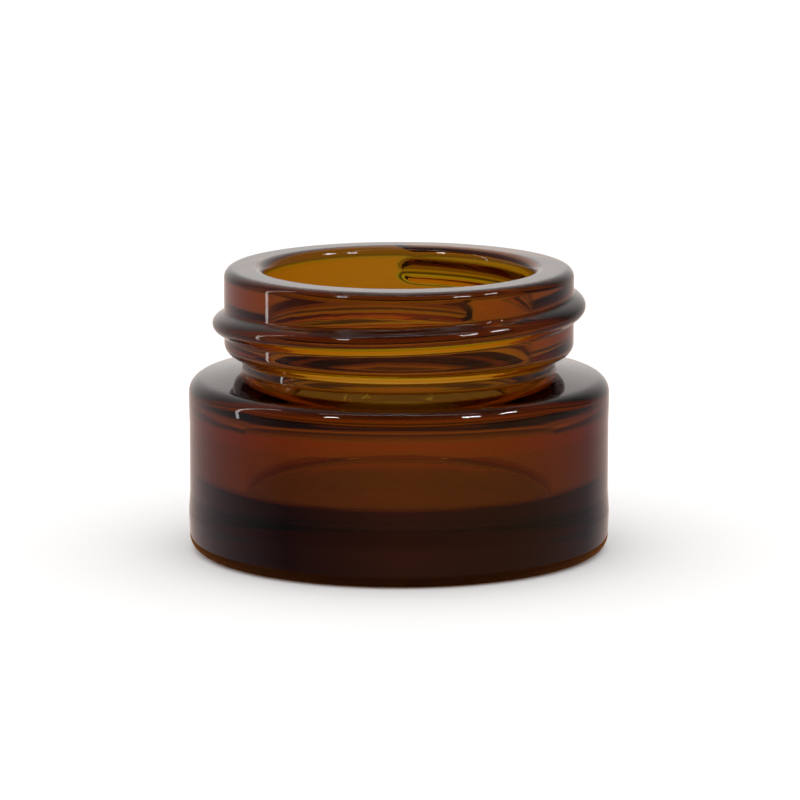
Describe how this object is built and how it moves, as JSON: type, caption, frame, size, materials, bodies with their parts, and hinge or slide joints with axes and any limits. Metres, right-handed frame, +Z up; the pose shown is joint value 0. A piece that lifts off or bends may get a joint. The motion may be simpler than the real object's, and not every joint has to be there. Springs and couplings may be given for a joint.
{
  "type": "cosmetic cream jar",
  "caption": "Low heavy-based glass cream jar with a wide mouth, a flat sealing rim and a right-hand screw neck for a one-turn closure.",
  "frame": {"origin": "middle of the standing ring, on the surface that the jar stands on", "axes": "+Z up along the jar's axis through the mouth; the thread's upper end is at +Y and it runs down clockwise seen from above, through +X and -Y"},
  "size_m": [0.0422, 0.0422, 0.0284],
  "materials": {
    "amber_glass": "fire-polished clear amber container glass"
  },
  "bodies": {
    "root": {"glass_jar": "amber_glass"}
  },
  "joints": []
}
